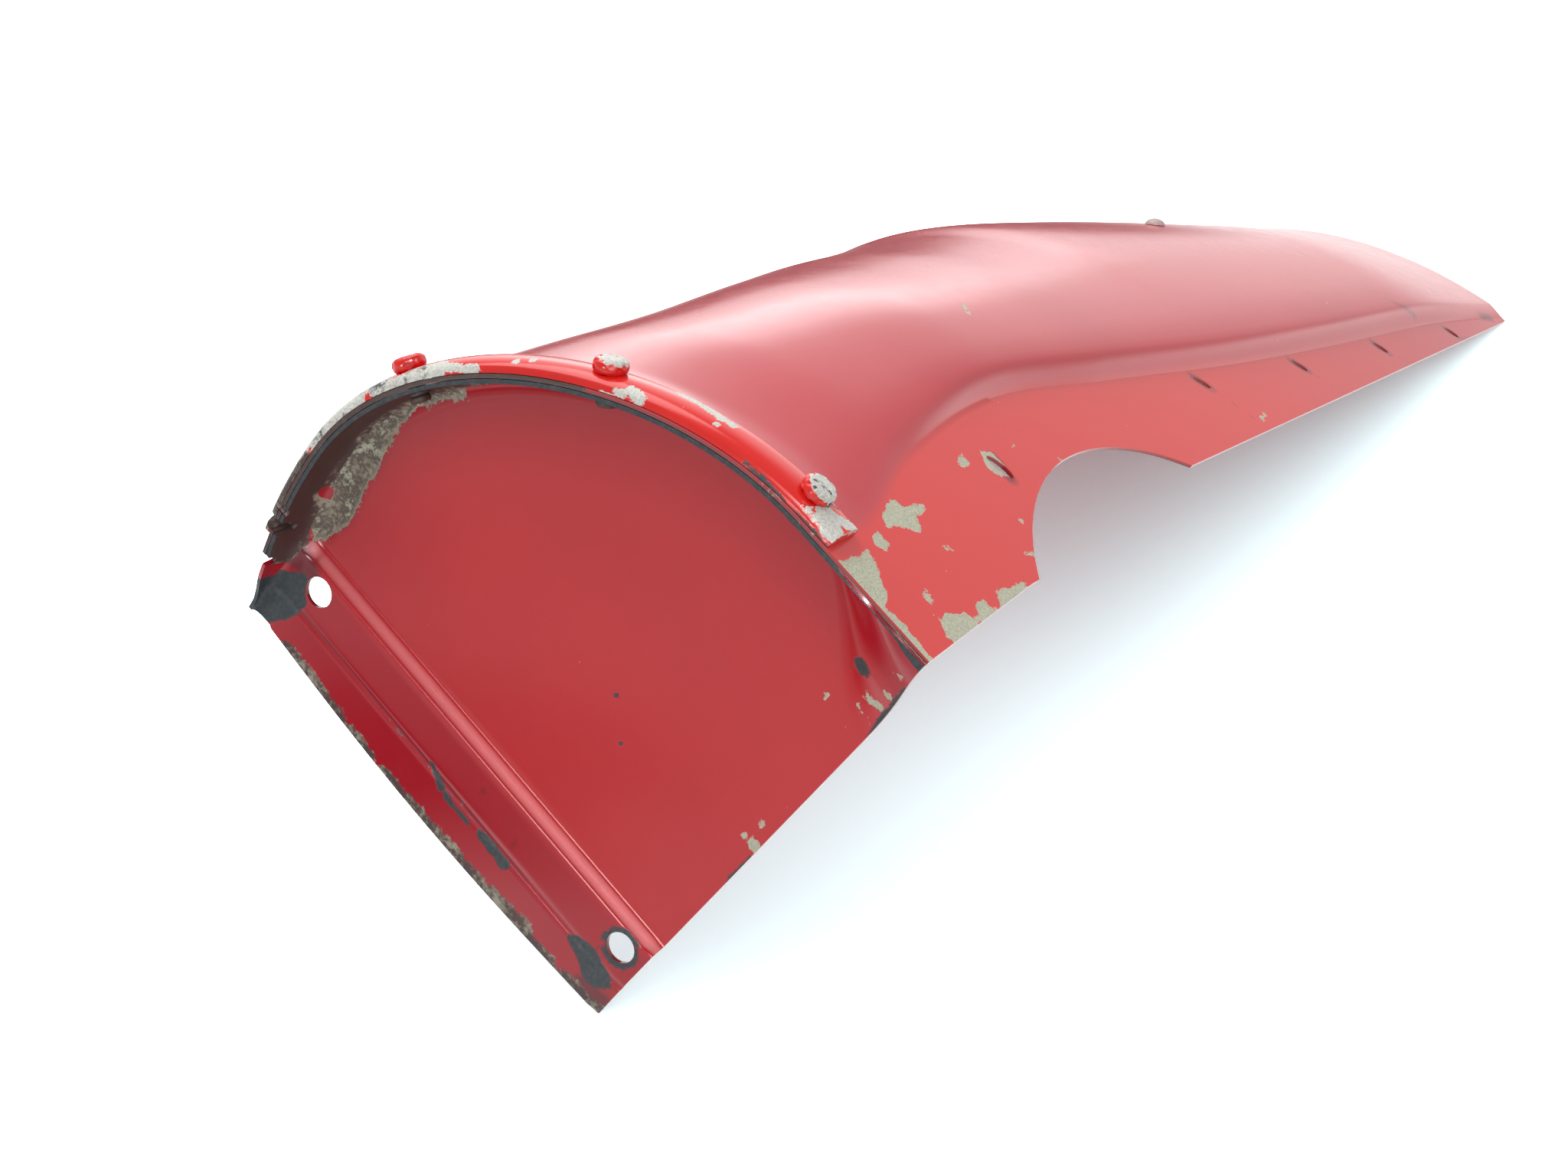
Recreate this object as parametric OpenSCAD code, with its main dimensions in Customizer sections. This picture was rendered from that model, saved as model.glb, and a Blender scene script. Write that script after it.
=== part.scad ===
/* [Sheet] */
// Thickness of the pressed steel sheet
sheet = 1.2; // [0.8:0.1:2]
// Gap left between sheets that nest in each other
nest_gap = 0.2; // [0.1:0.05:0.4]

/* [Shell] */
// Height of the inner edge above the foot plate
shell_h = 537; // [480:1:600]
// Widest reach of the outer wall beyond the plate's rear corner
wall_bulge = 13; // [6:0.5:18]
// Width of the shell where its top edge is cut
top_w = 118; // [100:1:125]
// How much lower the top edge ends on the outer side
top_drop = 97; // [60:1:120]
// How far the inner edge leans towards the outer side above the notch
edge_lean = 11; // [4:0.5:16]
// Widest part of the flat flange, beside the notch
flange_w = 57; // [50:0.5:66]
// Height of the step from the flange to the bulged front
step_h = 5; // [2:0.5:8]
// Width of the step from the flange to the bulged front
step_w = 8; // [6:0.5:12]
// How far the front falls away below the flange's plane at the top edge
top_droop = 10; // [4:0.5:14]
// How far the outer wall reaches behind the plate's pressed step
wall_past = 2.4; // [1:0.2:6]

/* [Notch and slots] */
// Radius of the round notch in the flange
notch_r = 97; // [90:1:104]
// Depth of the notch, measured from the plate's inner edge
notch_depth = 31; // [24:0.5:36]
// Height of the notch's middle above the plate
notch_z = 124; // [110:1:140]
// Width of the narrow slots along the step
slot_w = 2.2; // [1.5:0.1:3]
// Length of the narrow slots along the step
slot_l = 7.5; // [5:0.5:9]
// Number of narrow slots above the notch
slot_count = 4; // [2:1:5]
// Height of the lowest narrow slot
slot_first_z = 236; // [220:1:250]
// Distance from one narrow slot to the next
slot_pitch = 78; // [60:1:85]
// Width of the wide slot beside the notch
wide_slot_w = 4; // [2:0.1:5]
// Length of the wide slot beside the notch
wide_slot_l = 9.5; // [8:0.5:16]
// Distance of the wide slot from the step, inwards
wide_slot_in = 20; // [14:0.5:26]
// Height of the wide slot above the plate
wide_slot_z = 85; // [76:0.5:94]
// Lean of the wide slot, in degrees
wide_slot_lean = 20; // [0:1:40]
// Lean of the narrow slots, in degrees
slot_lean = 40; // [20:1:60]
// Distance of the narrow slots from the step, inwards
slot_in = 5.5; // [4:0.5:8]

/* [Toe plate] */
// Width of the plate at its rear edge
plate_w = 154; // [140:1:168]
// Depth of the plate from its rear edge to its front edge
plate_d = 162; // [150:0.5:172]
// How far the turned rim stands below the plate
rim_h = 14; // [12:0.5:18]
// Width of the soft bend between plate and rim
bend_w = 7.5; // [6:0.5:11]
// Width of the sloping front margin at the plate's inner end
slope_w = 30; // [24:1:36]
// Distance from the inner edge at which the sloping margin has become a rim
slope_reach = 45; // [40:1:48]
// Depth of the sunk strip that carries the fixing holes
strip_drop = 3; // [2:0.5:5]
// Width of the sunk strip that carries the fixing holes
strip_w = 15; // [13:0.5:18]
// Width of the lip behind the sunk strip
lip_w = 13; // [8:0.5:15]
// Height that the lip rises towards the rear edge
lip_rise = 1.5; // [0.5:0.5:4]
// How far the lip's edge bows out between its ends
lip_bow = 3.5; // [0:0.5:5]
// Width of the pressed step in front of the sunk strip
joggle_w = 5; // [2.5:0.5:7]

/* [Fixing holes] */
// Diameter of the two fixing holes
hole_d = 9; // [6.5:0.5:10]
// Distance of the inner hole from the plate's inner edge
hole_in = 8; // [7:0.5:12]
// Distance of the outer hole from the plate's outer rear corner
hole_out = 14.5; // [14:0.5:20]

/* [Collar strap] */
// Width of the half-round strap
strap_w = 14; // [12:0.5:16]
// Height of the half-round strap
strap_h = 3.6; // [2.5:0.1:5]
// Distance of the strap's front end from the plate's inner edge
strap_start = 37; // [30:1:44]
// Distance of the strap's rear end from the plate's rear edge
strap_back = 32.6; // [28:0.2:44]

/* [Rivets] */
// Diameter of a rivet head
head_d = 9.5; // [8:0.5:12]
// Height of a rivet head
head_h = 3.5; // [2.5:0.5:6]
// Diameter of a rivet shank
shank_d = 5; // [4:0.5:6]
// Gap round a rivet shank
shank_gap = 0.15; // [0.1:0.05:0.3]
// Gap behind the rim where a rivet's tail starts, clear of the rim's bend
tail_gap = 1; // [0.8:0.05:1.2]
// Number of rivets along the strap
rivet_count = 3; // [2:1:4]
// Diameter of the small head on the rounded corner
side_head_d = 8; // [6:0.5:10]
// Height of the small head on the rounded corner
side_head_h = 2.6; // [2:0.2:4]
// Height of the small head above the plate
side_head_z = 372; // [350:1:400]
// Place of the small head round the corner, as a share of the curve
side_head_share = 0.47; // [0.4:0.01:0.85]

/* [Hidden] */

paint = [0.76, 0.16, 0.17];
strap_paint = [0.85, 0.17, 0.15];
worn_metal = [0.72, 0.70, 0.62];

// The shell's columns run from the flange's free edge round to the wall's rear edge.
flange_cols = 3;
step_cols = 4;
bow_cols = 18;
wall_cols = 5;
cols = flange_cols + step_cols + bow_cols + wall_cols;
rows = 46;

// Handles of the curve that rounds the front into the outer wall, as shares of its reach.
bow_front = 0.47;
bow_side = 0.5;
// Share of the section at which the top edge starts to fall away.
top_round_start = 0.3;
// Length above the notch over which the free edge runs straight up before it leans back.
straight_run = 60;
half_turn = 180;

joggle_y = lip_w + strip_w;
wall_back = joggle_y - wall_past;
wall_x = plate_w + 6.8;
wall_y = 63.5;
rear_x = plate_w + 1.5;
rim_z = -rim_h;

// Stations of the shell, each a height and a value there.
flange_knots = [[rim_z, 0.67 * flange_w], [0, 0.67 * flange_w], [10, 0.67 * flange_w],
    [50, 0.89 * flange_w], [110, flange_w], [180, 0.84 * flange_w], [270, 0.61 * flange_w], [360, 0.43 * flange_w],
    [455, 0.26 * flange_w], [shell_h, 2]];
rise_knots = [[rim_z, 0], [0, 0], [12, 0], [70, 0.6 * step_h], [120, step_h],
    [430, step_h], [shell_h, 0.1 * step_h]];
wall_knots = [[rim_z, wall_x], [0, wall_x], [20, wall_x], [90, wall_x - 1.8], [150, wall_x + 2],
    [180, wall_x + 4], [210, wall_x + 4.4], [240, plate_w + wall_bulge - 0.5],
    [265, plate_w + wall_bulge + 1.4], [300, plate_w + wall_bulge - 2.5], [370, plate_w - 3],
    [440, 0.43 * plate_w + 0.57 * top_w], [500, top_w + 4], [shell_h, top_w]];
droop_knots = [[rim_z, 0], [430, 0], [480, 0.35 * top_droop], [shell_h, top_droop]];
bow_end_knots = [[rim_z, wall_y], [0, wall_y], [20, wall_y], [240, wall_y - 2], [370, wall_y + 2], [440, wall_y + 8],
    [shell_h, wall_y + 16]];
back_knots = [[rim_z, wall_back], [250, wall_back], [370, wall_back + 5],
    [shell_h - top_drop, wall_back + 22], [shell_h, wall_back + 50]];

function mix(a, b, t) = a + (b - a) * t;
function clamp01(t) = max(0, min(1, t));
function ease(t) = let(c = clamp01(t)) c * c * (3 - 2 * c);
function unit(v) = v / norm(v);

// A smooth curve through the stations.
function span(k, z, i = 0) = (i >= len(k) - 2 || z < k[i + 1][0]) ? i : span(k, z, i + 1);
function slope(k, i) = let(a = max(0, i - 1), b = min(len(k) - 1, i + 1))
    (k[b][1] - k[a][1]) / (k[b][0] - k[a][0]);
function along(k, z) = let(i = span(k, z), h = k[i + 1][0] - k[i][0],
    t = clamp01((z - k[i][0]) / h), u = 1 - t)
    k[i][1] * u * u * (1 + 2 * t) + k[i + 1][1] * t * t * (1 + 2 * u)
    + h * slope(k, i) * t * u * u - h * slope(k, i + 1) * u * t * t;

function bow(a, b, c, d, t) = let(u = 1 - t)
    u * u * u * a + 3 * u * u * t * b + 3 * u * t * t * c + t * t * t * d;

// Free edge of the flange: up to the notch it leans a little, above it leans back to the tip.
function edge_x(z) = z < notch_z ? mix(0, 0.36 * edge_lean, clamp01((z - rim_z) / 66))
    : edge_lean * clamp01((shell_h - z) / (shell_h - notch_z - straight_run));

// One point of the shell's outer face at height z, by column.
function section(z, c) = let(
    fx = along(flange_knots, z), fy = plate_d, rise = along(rise_knots, z),
    sx = fx + step_w, sy = plate_d + rise,
    wx = along(wall_knots, z), wy = along(bow_end_knots, z), by = along(back_knots, z),
    taper = (wall_x - rear_x) * clamp01(1 - z / 150))
    c <= flange_cols ? [mix(edge_x(z), fx, c / flange_cols), fy]
    : c <= flange_cols + step_cols ? let(t = (c - flange_cols) / step_cols)
        [fx + step_w * t, fy + rise * ease(t)]
    : c <= flange_cols + step_cols + bow_cols ? let(t = (c - flange_cols - step_cols) / bow_cols)
        bow([sx, sy], [sx + bow_front * (wx - sx), sy - along(droop_knots, z)],
            [wx, wy + bow_side * (sy - wy)], [wx, wy], t)
    : let(t = (c - flange_cols - step_cols - bow_cols) / wall_cols)
        [wx - taper * t * t, mix(wy, by, t)];

// Height of the cut top edge over a column.
function top_z(c) = let(t = clamp01((c / cols - top_round_start) / (1 - top_round_start)))
    shell_h - top_drop * (1 - sqrt(1 - 0.98 * t * t)) / (1 - sqrt(0.02));
function shell_z(c, r) = mix(rim_z, top_z(c), r / rows);
function skin(c, r) = let(z = shell_z(c, r), p = section(z, c)) [p.x, p.y, z];

// Outward normal at a column of the shell, by differences of its neighbours.
function skin_normal(c, r) = unit(cross(
    skin(min(c + 1, cols), r) - skin(max(c - 1, 0), r),
    skin(c, min(r + 1, rows)) - skin(c, max(r - 1, 0))));
shell_outer = [for (r = [0:rows], c = [0:cols]) skin(c, r)];
shell_inner = [for (r = [0:rows], c = [0:cols]) skin(c, r) + sheet * skin_normal(c, r)];

// A closed sheet between two skins that share their tiles; the loop runs round its edge.
function cell(a, b, c, d) = [[a, b, c], [a, c, d]];
module sheet_solid(face, back, tiles, loop) {
    half = len(face);
    polyhedron(points = concat(face, back), faces = concat(tiles,
        [for (t = tiles) [t[2] + half, t[1] + half, t[0] + half]],
        [for (i = [0:len(loop) - 1]) let(p = loop[i], q = loop[(i + 1) % len(loop)])
            each cell(q, p, p + half, q + half)]), convexity = 6);
}
module shell_sheet() {
    function at(r, c) = r * (cols + 1) + c;
    tiles = [for (r = [0:rows - 1], c = [0:cols - 1])
        each cell(at(r, c), at(r + 1, c), at(r + 1, c + 1), at(r, c + 1))];
    loop = concat([for (r = [0:rows]) at(r, 0)], [for (c = [1:cols]) at(rows, c)],
        [for (r = [rows - 1:-1:0]) at(r, cols)], [for (c = [cols - 1:-1:1]) at(0, c)]);
    sheet_solid(shell_inner, shell_outer, tiles, loop);
}

// The three corners that the shield lies on: the plate's inner rear corner, the tip and
// the end of the outer wall.
lip_z = lip_rise - strip_drop;
rest_a = [0, 0, lip_z + sheet];
rest_b = [edge_x(shell_h), plate_d - sheet, shell_h];
rest_c = shell_inner[len(shell_inner) - 1];
lie_x = unit(rest_b - rest_a);
lie_z = unit(cross(rest_b - rest_a, rest_c - rest_a));
lie_y = cross(lie_z, lie_x);
function laid(p) = let(q = p - rest_a) [q * lie_x, q * lie_y, q * lie_z];
laid_points = [for (p = shell_outer) laid(p)];
laid_x = [for (p = laid_points) p.x];
laid_y = [for (p = laid_points) p.y];
centre_x = (min(laid_x) + max(laid_x)) / 2;
centre_y = (min(laid_y) + max(laid_y)) / 2;

module lay_down() {
    multmatrix([
        [lie_x.x, lie_x.y, lie_x.z, -rest_a * lie_x - centre_x],
        [lie_y.x, lie_y.y, lie_y.z, -rest_a * lie_y - centre_y],
        [lie_z.x, lie_z.y, lie_z.z, -rest_a * lie_z],
        [0, 0, 0, 1]]) children();
}

// Rivets along the strap, by their place on the curve that rounds the corner.
bow_col = flange_cols + step_cols;
function rivet_t(i) = mix(0.02, 0.76, i / (rivet_count - 1));
function rim_point(c, out = 0) = let(a = section(rim_z, c - 0.01), b = section(rim_z, c + 0.01),
    d = unit(b - a)) section(rim_z, c) + out * [-d.y, d.x];
function rim_turn(c) = let(a = rim_point(c), b = rim_point(c, 1)) atan2(b.y - a.y, b.x - a.x);
module at_rivet(i, out = 0) {
    c = bow_col + bow_cols * rivet_t(i);
    p = rim_point(c, out);
    translate([p.x, p.y, rim_z + strap_w / 2]) rotate([0, 0, rim_turn(c)]) rotate([0, 90, 0])
        children();
}
module rivet_holes() {
    for (i = [0:rivet_count - 1]) at_rivet(i)
        translate([0, 0, -8]) cylinder(d = shank_d + 2 * shank_gap, h = 20, $fn = 32);
}

// Place of the small head on the rounded corner.
side_col = bow_col + side_head_share * bow_cols;
side_at = let(p = section(side_head_z, side_col)) [p.x, p.y, side_head_z];
side_out = let(
    a = section(side_head_z, side_col - 0.2), b = section(side_head_z, side_col + 0.2),
    lo = section(side_head_z - 3, side_col), hi = section(side_head_z + 3, side_col))
    unit(cross([b.x - a.x, b.y - a.y, 0], [lo.x - hi.x, lo.y - hi.y, -6]));
module at_side_head() {
    translate(side_at) rotate([0, acos(side_out.z), atan2(side_out.y, side_out.x)]) children();
}

// A slot with round ends, through the flange from front to back.
module flange_slot(x, z, w, l, lean) {
    translate([x, plate_d + 4, z]) rotate([90, lean, 0]) linear_extrude(height = 10) {
        square([l - w, w], center = true);
        for (s = [-1, 1]) translate([s * (l - w) / 2, 0]) circle(d = w, $fn = 24);
    }
}

// Bites that rust has taken out of the rim's outer rear end.
module rust_bites() {
    bites = [[wall_back + 19, 5, 3.6], [wall_back + 8, 4, 4.6], [wall_back + 13, 1.6, 1.8]];
    for (b = bites) translate([plate_w - 20, b[0], rim_z - 0.5])
        rotate([90, 0, 90]) linear_extrude(height = 40)
            polygon([[-b[1], -1], [b[1], -1], [b[1] * 0.4, b[2]], [-b[1] * 0.3, b[2] * 0.8]]);
}

module shield_shell() color(paint) difference() {
    shell_sheet();
    translate([notch_depth - notch_r, plate_d - 6, notch_z]) rotate([-90, 0, 0])
        cylinder(r = notch_r, h = 10, $fn = 120);
    for (i = [0:slot_count - 1]) let(z = slot_first_z + i * slot_pitch)
        flange_slot(along(flange_knots, z) - slot_in, z, slot_w, slot_l, slot_lean);
    flange_slot(flange_w - wide_slot_in, wide_slot_z, wide_slot_w, wide_slot_l, wide_slot_lean);
    rivet_holes();
    at_side_head() cylinder(d = shank_d - 1 + 2 * shank_gap, h = 12, center = true, $fn = 24);
    rust_bites();
}

// The plate's underside. Its front part is a fan of columns, from the turned rim to the line
// in front of the sunk strip. Its rear part is rows across the plate, down to the rear edge.
fan_cols = 34;
bend_rows = 9;
flat_rows = 5;
fan_rows = bend_rows + flat_rows;
levels = [joggle_y + joggle_w, joggle_y + joggle_w / 2, joggle_y, wall_back, lip_w + 2, lip_w,
    lip_w / 2, 0];
bow_last = bow_col + bow_cols;
fan_end = bow_last + wall_cols * (wall_y - levels[0]) / (wall_y - wall_back);
// Thickness of one sheet with its gap, and of both sheets.
inset = sheet + nest_gap;
deep_inset = inset + sheet;

function pressed_z(y) = y >= joggle_y ? -strip_drop * ease((levels[0] - y) / joggle_w)
    : y >= lip_w ? -strip_drop : -strip_drop + lip_rise * (1 - y / lip_w);
function pressed_slope(y) = (pressed_z(y + 1) - pressed_z(max(y - 1, 0))) / (y + 1 - max(y - 1, 0));
function rim_drop(y) = mix(0.25 * rim_h, rim_h, ease(y / wall_back));
// The bend from the rim's edge up to the flat: a slope at the inner end, a rim elsewhere.
function bend_ends(b, lo, hi) = [[0, lo], [mix(10, 0, b), mix(lo, hi, 0.85 * b)],
    [mix(0.64 * slope_w, 0.2 * bend_w, b), hi], [mix(slope_w, bend_w, b), hi]];
function bend_at(e, t) = bow(e[0], e[1], e[2], e[3], t);
function bend_way(e, t) = let(u = 1 - t)
    u * u * (e[1] - e[0]) + 2 * u * t * (e[2] - e[1]) + t * t * (e[3] - e[2]);

// A point of the plate and its upward normal, inwards from a rim point.
function bent(p, n, e, t, slope = 0) = let(q = bend_at(e, t), w = bend_way(e, t))
    [[p.x + q.x * n.x, p.y + q.x * n.y, q.y], unit([-w.y * n.x, -w.y * n.y - slope * w.x, w.x])];
function side_x(y) = y >= wall_back
    ? wall_x - (wall_x - rear_x) * pow((wall_y - y) / (wall_y - wall_back), 2) - deep_inset
    : mix(plate_w - sheet, rear_x - deep_inset, y / wall_back);
side_in = side_x(levels[0]) - bend_w;
foot_end = side_in - 26;
function foot_x(c) = foot_end * pow(c / fan_cols, 0.9);
function fan_point(r, c) = let(k = fan_end * c / fan_cols,
    b = ease(rim_point(k).x / slope_reach),
    p = rim_point(k, -mix(inset, deep_inset, b) - 0.25 * sin(half_turn * b)),
    turn = ease((k - bow_last) / (fan_end - bow_last)),
    n = unit((1 - turn) * (rim_point(k, -1) - rim_point(k)) + turn * [-1, 0]),
    e = bend_ends(b, -rim_drop(p.y) - (1 - b) * 1.2, 0))
    r <= bend_rows ? bent(p, n, e, r / bend_rows)
    : let(t = (r - bend_rows) / flat_rows, q = p + e[3].x * n)
        [[mix(q.x, foot_x(c), t), mix(q.y, levels[0], t), 0], [0, 0, 1]];
function rear_point(k, j) = let(y = levels[k], z = pressed_z(y), m = j - fan_cols,
    up = unit([0, -pressed_slope(y), 1]), last = side_x(y) - bend_w)
    m <= flat_rows ? let(x = m <= 0 ? foot_x(j) : mix(foot_end, last, m / flat_rows))
        [[x, y - lip_bow * sin(half_turn * x / plate_w) * pow(clamp01(1 - y / lip_w), 2), z], up]
    : bent([side_x(y), y], [-1, 0], bend_ends(1, -rim_drop(y), z), (fan_rows - m) / bend_rows,
        pressed_slope(y));

plate_skin = concat([for (r = [0:fan_rows], c = [0:fan_cols]) fan_point(r, c)],
    [for (k = [1:len(levels) - 1], j = [0:fan_cols + fan_rows]) rear_point(k, j)]);

module plate_sheet() {
    wide = fan_cols + fan_rows;
    low = len(levels) - 1;
    function fan(r, c) = r * (fan_cols + 1) + c;
    function rear(k, j) = k == 0 ? (j <= fan_cols ? fan(fan_rows, j) : fan(wide - j, fan_cols))
        : fan(fan_rows + 1, 0) + (k - 1) * (wide + 1) + j;
    tiles = concat(
        [for (r = [0:fan_rows - 1], c = [0:fan_cols - 1])
            each cell(fan(r, c), fan(r + 1, c), fan(r + 1, c + 1), fan(r, c + 1))],
        [for (k = [0:low - 1], j = [0:wide - 1])
            each cell(rear(k, j), rear(k + 1, j), rear(k + 1, j + 1), rear(k, j + 1))]);
    loop = concat([for (r = [0:fan_rows]) fan(r, 0)], [for (k = [1:low]) rear(k, 0)],
        [for (j = [1:wide]) rear(low, j)], [for (k = [low - 1:-1:1]) rear(k, wide)],
        [for (c = [fan_cols:-1:1]) fan(0, c)]);
    sheet_solid([for (p = plate_skin) p[0]], [for (p = plate_skin) p[0] + sheet * p[1]],
        tiles, loop);
}

module toe_plate() color(paint) difference() {
    plate_sheet();
    for (x = [hole_in, plate_w - hole_out]) translate([x, lip_w + hole_d / 2 + 5.5, -rim_h])
        cylinder(d = hole_d, h = 2 * rim_h, $fn = 48);
    rivet_holes();
    rust_bites();
}

// The strap: a half-round section swept round the outside of the shell.
strap_ribs = 40;
strap_arcs = 8;
function strap_section(a) = [strap_h * pow(sin(a), 0.7), strap_w * (1 - cos(a)) / 2];
strap_first = flange_cols * strap_start / along(flange_knots, rim_z);
strap_last = bow_last + wall_cols * (wall_y - strap_back) / (wall_y - wall_back);
module collar_strip() color(strap_paint) {
    n = strap_arcs + 1;
    points = [for (i = [0:strap_ribs], k = [0:strap_arcs])
        let(q = strap_section(half_turn * k / strap_arcs),
            p = rim_point(mix(strap_first, strap_last, i / strap_ribs), nest_gap + q.x))
        [p.x, p.y, rim_z + q.y]];
    sides = [for (i = [0:strap_ribs - 1], k = [0:n - 1]) let(a = i * n + k, b = i * n + (k + 1) % n)
        each cell(a, a + n, b + n, b)];
    ends = [[for (k = [0:n - 1]) k], [for (k = [n - 1:-1:0]) strap_ribs * n + k]];
    difference() {
        polyhedron(points = points, faces = concat(sides, ends), convexity = 4);
        rivet_holes();
    }
}

// A rivet: flat-topped head, shank, and the tail formed behind the rim.
module rivet(grip, d, head, height) {
    tail = -deep_inset - tail_gap;
    rotate_extrude($fn = 48) polygon([
        [0, grip + height], [0.4 * head, grip + height], [0.5 * head, grip + 0.72 * height],
        [0.5 * head, grip], [d / 2, grip], [d / 2, tail], [0.57 * d, tail],
        [0.52 * d, tail - 0.35 * d], [0, tail - 0.4 * d]]);
}
module collar_rivets() color(strap_paint) for (i = [0:rivet_count - 1])
    at_rivet(i) rivet(strap_h + nest_gap + 0.1, shank_d, head_d, head_h);

module side_rivet() color(worn_metal) at_side_head()
    rotate_extrude($fn = 40) polygon([
        [0, side_head_h], [0.3 * side_head_d, 0.8 * side_head_h], [0.5 * side_head_d, 0.35],
        [0.5 * side_head_d, 0.15], [shank_d / 2 - 0.5, 0.15], [shank_d / 2 - 0.5, -sheet - 0.3],
        [0.7 * shank_d, -sheet - 0.3], [0.5 * shank_d, -sheet - 1.6], [0, -sheet - 1.8]]);

lay_down() shield_shell();
lay_down() toe_plate();
lay_down() collar_strip();
lay_down() collar_rivets();
lay_down() side_rivet();
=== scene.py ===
import bpy
import math
import numpy as np
from mathutils import Matrix, Vector


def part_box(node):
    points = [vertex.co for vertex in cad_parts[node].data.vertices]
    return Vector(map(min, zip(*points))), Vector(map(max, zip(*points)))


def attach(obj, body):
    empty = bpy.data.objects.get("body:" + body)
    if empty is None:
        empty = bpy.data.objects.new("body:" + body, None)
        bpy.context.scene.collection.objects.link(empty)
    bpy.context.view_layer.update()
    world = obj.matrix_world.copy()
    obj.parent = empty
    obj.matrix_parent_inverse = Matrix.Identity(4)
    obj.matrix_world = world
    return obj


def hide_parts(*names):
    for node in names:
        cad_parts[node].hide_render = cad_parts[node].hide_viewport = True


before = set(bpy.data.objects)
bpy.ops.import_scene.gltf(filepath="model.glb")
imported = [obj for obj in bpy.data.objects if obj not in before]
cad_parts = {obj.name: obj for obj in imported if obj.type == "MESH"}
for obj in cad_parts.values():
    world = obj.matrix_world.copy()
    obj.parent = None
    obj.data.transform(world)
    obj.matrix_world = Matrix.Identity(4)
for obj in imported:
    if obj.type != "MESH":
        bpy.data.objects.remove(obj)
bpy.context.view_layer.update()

# Shield shell: one piece of 1.2 mm steel sheet, pressed to a bulged front with a flat flange
# along its inner edge, and riveted to the toe plate at its foot. It is drawn standing on that
# foot, in millimetres; the round notch, the slots and the rusted notches are punched afterwards.
SHEET, NEST = 1.2, 0.2
SHELL_H, BULGE, TOP_W, TOP_DROP = 537.0, 13.0, 118.0, 97.0
EDGE_LEAN, FLANGE_W, STEP_H, STEP_W, STEP_POWER, DROOP = 11.0, 57.0, 5.0, 8.0, 0.6, 10.0
PLATE_W, PLATE_D, RIM_Z = 154.0, 162.0, -14.0
LIP_W, LIP_RISE, STRIP_W, JOGGLE_W, STRIP_DROP = 13.0, 1.5, 15.0, 5.0, 3.0
JOGGLE_Y = LIP_W + STRIP_W
WALL_BACK = JOGGLE_Y - 2.4
NOTCH_R, NOTCH_DEPTH, NOTCH_Z = 97.0, 31.0, 124.0
WALL_X, WALL_Y, REAR_X = PLATE_W + 6.8, 63.5, PLATE_W + 1.5
FLANGE_C, STEP_C, BOW_C, WALL_C = 3, 4, 18, 5
BOW0 = FLANGE_C + STEP_C
BOW1 = BOW0 + BOW_C
COLS = BOW1 + WALL_C


def stations(pairs):
    return np.array(pairs, float)


FLANGE_AT = stations([(RIM_Z, 0.67 * FLANGE_W), (0, 0.67 * FLANGE_W), (10, 0.67 * FLANGE_W),
                      (50, 0.89 * FLANGE_W), (110, FLANGE_W), (180, 0.84 * FLANGE_W),
                      (270, 0.61 * FLANGE_W), (360, 0.43 * FLANGE_W), (455, 0.26 * FLANGE_W),
                      (SHELL_H, 2)])
RISE_AT = stations([(RIM_Z, 0), (0, 0), (12, 0), (70, 0.6 * STEP_H), (120, STEP_H),
                    (430, STEP_H), (SHELL_H, 0.1 * STEP_H)])
WALL_AT = stations([(RIM_Z, WALL_X), (0, WALL_X), (20, WALL_X), (90, WALL_X - 1.8),
                    (150, WALL_X + 2), (180, WALL_X + 4), (210, WALL_X + 4.4),
                    (240, PLATE_W + BULGE - 0.5), (265, PLATE_W + BULGE + 1.4),
                    (300, PLATE_W + BULGE - 2.5), (370, PLATE_W - 3),
                    (440, 0.43 * PLATE_W + 0.57 * TOP_W), (500, TOP_W + 4), (SHELL_H, TOP_W)])
DROOP_AT = stations([(RIM_Z, 0), (430, 0), (480, 0.35 * DROOP), (SHELL_H, DROOP)])
BOW_END_AT = stations([(RIM_Z, WALL_Y), (0, WALL_Y), (20, WALL_Y), (240, WALL_Y - 2),
                       (370, WALL_Y + 2), (440, WALL_Y + 8), (SHELL_H, WALL_Y + 16)])
BACK_AT = stations([(RIM_Z, WALL_BACK), (250, WALL_BACK), (370, WALL_BACK + 5),
                    (SHELL_H - TOP_DROP, WALL_BACK + 22), (SHELL_H, WALL_BACK + 50)])


def along(k, z):
    # A smooth curve through the stations k, read at the height z.
    z = np.asarray(z, float)
    i = np.clip(np.searchsorted(k[:, 0], z, side="right") - 1, 0, len(k) - 2)

    def slope(j):
        a, b = np.maximum(0, j - 1), np.minimum(len(k) - 1, j + 1)
        return (k[b, 1] - k[a, 1]) / (k[b, 0] - k[a, 0])

    h = k[i + 1, 0] - k[i, 0]
    t = np.clip((z - k[i, 0]) / h, 0, 1)
    u = 1 - t
    return (k[i, 1] * u * u * (1 + 2 * t) + k[i + 1, 1] * t * t * (1 + 2 * u)
            + h * slope(i) * t * u * u - h * slope(i + 1) * u * t * t)


def ease(t):
    t = np.clip(t, 0, 1)
    return t * t * (3 - 2 * t)


def bow(a, b, c, d, t):
    # A cubic curve from a to d that leaves towards b and arrives from c.
    u = 1 - t
    return u ** 3 * a + 3 * u * u * t * b + 3 * u * t * t * c + t ** 3 * d


def free_edge(z):
    # The flange's cut edge: it is set back a little over the foot and most above the notch, and
    # runs out again to the tip.
    low = np.clip((z - RIM_Z) / 66, 0, 1) * 0.36 * EDGE_LEAN
    high = EDGE_LEAN * np.clip((SHELL_H - z) / (SHELL_H - NOTCH_Z - 60), 0, 1)
    return np.where(z < NOTCH_Z, low, high)


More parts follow.
